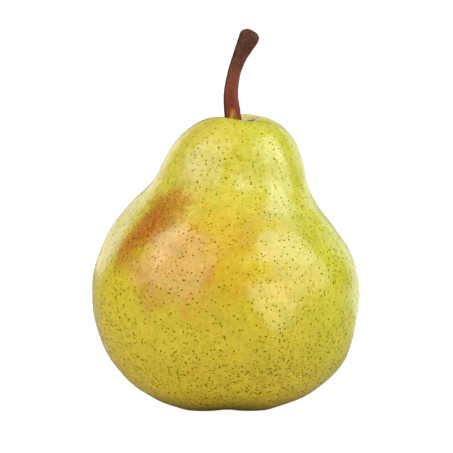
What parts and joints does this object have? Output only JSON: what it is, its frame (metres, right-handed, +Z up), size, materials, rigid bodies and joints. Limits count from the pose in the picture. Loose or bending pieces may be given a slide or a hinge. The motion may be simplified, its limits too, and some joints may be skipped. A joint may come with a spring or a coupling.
{
  "type": "pear",
  "caption": "Whole fresh green-yellow pear standing upright on its lobed foot, with a bent woody stalk and a dried calyx underneath.",
  "frame": {"origin": "on the surface the pear stands on, under the middle of its box", "axes": "+Z up, from the calyx to the stalk; +X the side the stalk bends towards; -Y the front"},
  "size_m": [0.0772, 0.0768, 0.1091],
  "materials": {
    "pear_skin": "waxy semi-gloss skin, yellow-green with an orange-brown blush and fine dark lenticels",
    "stem_wood": "satin reddish-brown bark, darker and rougher at the head",
    "dried_calyx": "matte, dry and dark brown"
  },
  "bodies": {
    "root": {"fruit": "pear_skin", "stem": "stem_wood", "calyx_ring": "dried_calyx", "sepal_1": "dried_calyx", "sepal_2": "dried_calyx", "sepal_3": "dried_calyx", "sepal_4": "dried_calyx", "sepal_5": "dried_calyx"}
  },
  "joints": []
}
